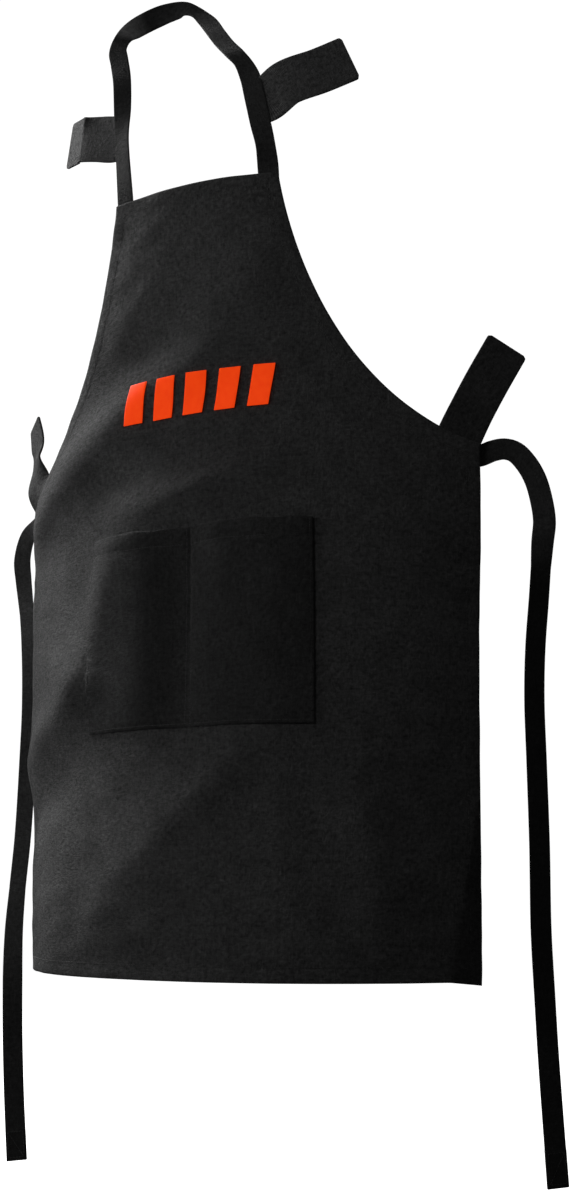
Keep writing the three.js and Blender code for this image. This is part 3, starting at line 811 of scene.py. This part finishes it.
# Painted light and shade along the strap, by the share of its length, with painted highlights at the
# left bend and on the right leg: how much paler or darker than its dye it is drawn
neck_painted_shading = [
    (0, -0.1), (0.25, -0.35), (0.375, -0.4), (0.392, 4.5), (0.41, 4), (0.435, 0), (0.53, 0.2),
    (0.56, 3), (0.69, 4), (0.72, 0.4), (1, 0.3),
]
neck_line = smooth_route(neck_rows, route_steps)[0]
neck = lay_strip(
    "neck_tape", neck_line[:, :3], unit(neck_line[:, 3:]), tape_width, tape_columns, tape_thickness,
    painted_shading=neck_painted_shading,
)[0]
give(neck, tape_cloth)
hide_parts("neck_strap")

# Hook-and-loop tabs: wide napped webbing that wraps round a cable. Two are sewn to the legs of
# the neck strap and two behind the lower ends of the armholes. Each has its width and its rows,
# and a row is a place and the direction across the tab.
tab_thickness = 0.0026
tab_steps = 60
tab_columns = 17
tip_radius = 0.004
tabs = {
    "shoulder_tab_left": (0.058, [
        (-0.05337, -0.04429, -0.18293, -0.030, -0.013, 1),
        (-0.06501, -0.04049, -0.18323, -0.030, -0.013, 1),
        (-0.09581, -0.03279, -0.17223, 0.020, 0.020, 1),
        (-0.1262, -0.0252, -0.1621, 0.020, 0.020, 1),
        (-0.1296, -0.0226, -0.1609, 0.020, 0.020, 1),
        (-0.16291, 0.00131, -0.14913, 0.020, 0.020, 1),
    ]),
    "shoulder_tab_right": (0.058, [
        (0.12472, -0.04058, -0.18326, 0.205, -0.010, -0.979),
        (0.13594, -0.03625, -0.18096, 0.205, -0.010, -0.979),
        (0.15904, -0.02855, -0.16006, 0.269, 0.100, -0.958),
        (0.19534, -0.01425, -0.14576, 0.249, 0.090, -0.965),
        (0.22889, -0.00127, -0.13091, 0.239, 0.090, -0.967),
    ]),
    "waist_tab_left": (0.05, [
        (-0.22623, 0.055, -0.61117, -0.671, 0.636, -0.383),
        (-0.22931, 0.05881, -0.60011, -0.690, 0.611, -0.389),
        (-0.23932, 0.06571, -0.57412, -0.906, 0.392, -0.161),
        (-0.2453, 0.06778, -0.54411, -0.664, 0.704, -0.252),
        (-0.24426, 0.06778, -0.52214, -0.751, 0.609, -0.254),
        (-0.25116, 0.06881, -0.48914, -0.695, 0.675, -0.248),
    ]),
    "waist_tab_right": (0.05, [
        (0.33571, 0.02917, -0.61064, 0.799, 0.457, -0.391),
        (0.34009, 0.03063, -0.59973, 0.803, 0.450, -0.392),
        (0.35159, 0.03638, -0.57328, 0.719, 0.569, -0.399),
        (0.36769, 0.04098, -0.54223, 0.697, 0.568, -0.438),
        (0.39184, 0.0496, -0.49773, 0.651, 0.561, -0.511),
    ]),
}
# Painted light and shade on each tab, by the share of its length
tab_painted_shading = {
    "shoulder_tab_left": [(0, -0.45), (0.6, -0.4), (0.72, -0.3), (1, -0.45)],
    "shoulder_tab_right": [(0, 2.2), (0.35, 1.8), (0.6, 1.2), (1, 1)],
    "waist_tab_left": [(0, 0), (1, 0)],
    "waist_tab_right": [(0, 0.1), (0.3, 0.2), (0.5, 0.6), (1, 0.45)],
}
hook_and_loop = woven_cloth(
    "hook_and_loop", (0.038, 0.038, 0.038), yarn=0.0013, contrast=0.55, sheen=0.04, relief=1.0,
)
for node, (width, rows) in tabs.items():
    line, tab_length = smooth_route(rows, tab_steps)
    run = np.linspace(0, tab_length, len(line))
    short = np.clip(run - (tab_length - tip_radius), 0, tip_radius)
    half_widths = width / 2 - tip_radius + np.sqrt(tip_radius**2 - short**2 + 1e-10)
    tab = lay_strip(
        node + "_webbing", line[:, :3], unit(line[:, 3:]), width, tab_columns, tab_thickness,
        half_widths=half_widths, painted_shading=tab_painted_shading[node],
    )[0]
    give(tab, hook_and_loop)
    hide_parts(node)

# Raised bars: five slanted bars of soft orange print stand in a row on the bib. They are
# pressed on, so they follow the cloth and have rounded rims.
bar_count = 5
bar_pitch = 0.040
bar_width = 0.025
bar_height = 0.047
bar_slant = 0.009
bar_thickness = 0.0015
bar_columns = 11
bar_rows = 19
bar_row_down = 0.254
bar_row_across = 0.006
orange_print = bpy.data.materials.new("orange_print")
orange_print.use_nodes = True
print_shader = orange_print.node_tree.nodes["Principled BSDF"]
print_spots = add_node(
    orange_print, "TexNoise", {
        "Vector": add_node(orange_print, "TexCoord").outputs["Object"], "Scale": 160.0,
        "Detail": 3.0,
    },
)
print_colour_and_glow = add_node(
    orange_print, "Mix", {
        "Factor": print_spots.outputs["Fac"], "A": (0.72, 0.036, 0.003, 1),
        "B": (0.86, 0.06, 0.005, 1),
    }, data_type="RGBA",
)
orange_print.node_tree.links.new(print_colour_and_glow.outputs["Result"], print_shader.inputs["Base Color"])
orange_print.node_tree.links.new(print_colour_and_glow.outputs["Result"], print_shader.inputs["Emission Color"])
# The print glows a little in its own colour: painted light
print_shader.inputs["Emission Strength"].default_value = 0.7
print_shader.inputs["Roughness"].default_value = 0.6
print_shader.inputs["Specular IOR Level"].default_value = 0.05
bar_across, bar_up = np.meshgrid(
    np.linspace(-0.5, 0.5, bar_columns), np.linspace(-0.5, 0.5, bar_rows),
)
for number in range(1, bar_count + 1):
    bar_middle = bar_row_across + (number - (bar_count + 1) / 2) * bar_pitch
    across = bar_middle + bar_width * bar_across + bar_slant * bar_up
    down = bar_row_down - bar_height * bar_up
    bar = lay_grid(
        f"raised_bar_{number}",
        off_panel(across, down, cloth / 2 + seam_gap + bar_thickness / 2), across, down,
    )
    thicken(bar, bar_thickness, bevel=0.35)
    finish_mesh(bar)
    give(bar, orange_print)
    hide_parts(f"print_bar_{number}")

# Studio: a plain pale floor under the ties, a white surround, one large soft light from high on
# the left that grazes the cloth, and two weak ones in front of it.
floor_size = 14
floor_level = -1.46
light_size = 1.2
panel_middle = (0.05, 0.0, -0.7)
bpy.ops.object.select_all(action="DESELECT")
bpy.ops.mesh.primitive_plane_add(size=floor_size, location=(0, 0, floor_level))
floor = bpy.context.object
floor.name = "floor"
floor.visible_diffuse = False
floor.visible_glossy = False
floor_paint = bpy.data.materials.new("floor_paint")
floor_paint.use_nodes = True
floor_shader = floor_paint.node_tree.nodes["Principled BSDF"]
floor_shader.inputs["Base Color"].default_value = (0.8, 0.8, 0.8, 1)
floor_shader.inputs["Emission Color"].default_value = (1, 1, 1, 1)
floor_shader.inputs["Emission Strength"].default_value = 0.95
floor.data.materials.append(floor_paint)

world = bpy.data.worlds.new("white_surround")
world.use_nodes = True
bpy.context.scene.world = world
world_nodes, world_links = world.node_tree.nodes, world.node_tree.links
surround = world_nodes["Background"]
surround.inputs["Color"].default_value = (1, 1, 1, 1)
surround.inputs["Strength"].default_value = 0.05
backdrop = world_nodes.new("ShaderNodeBackground")
backdrop.inputs["Color"].default_value = (1, 1, 1, 1)
backdrop.inputs["Strength"].default_value = 1.05
chooser = world_nodes.new("ShaderNodeMixShader")
seen = world_nodes.new("ShaderNodeLightPath")
world_links.new(seen.outputs["Is Camera Ray"], chooser.inputs[0])
world_links.new(surround.outputs[0], chooser.inputs[1])
world_links.new(backdrop.outputs[0], chooser.inputs[2])
world_links.new(chooser.outputs[0], world_nodes["World Output"].inputs[0])


def turn_towards(place, target):
    """The turn that points a light's -Z from place to target."""
    x, y, z = np.array(target, float) - np.array(place, float)
    return (math.atan2(math.hypot(x, y), -z), 0, math.atan2(y, x) - math.pi / 2)


def add_softbox(name, place, power):
    """A round soft light that faces the middle of the panel."""
    bpy.ops.object.light_add(type="AREA", location=place)
    light = bpy.context.object
    light.name = name
    light.data.shape = "DISK"
    light.data.size = light_size
    light.data.energy = power
    light.rotation_euler = turn_towards(place, panel_middle)


add_softbox("key_light", (-2.14, 0.43, 1.3), 152)
add_softbox("side_fill", (-2.55, -1.5, -0.6), 21)
add_softbox("front_fill", (-0.84, -2.44, 0.8), 18)
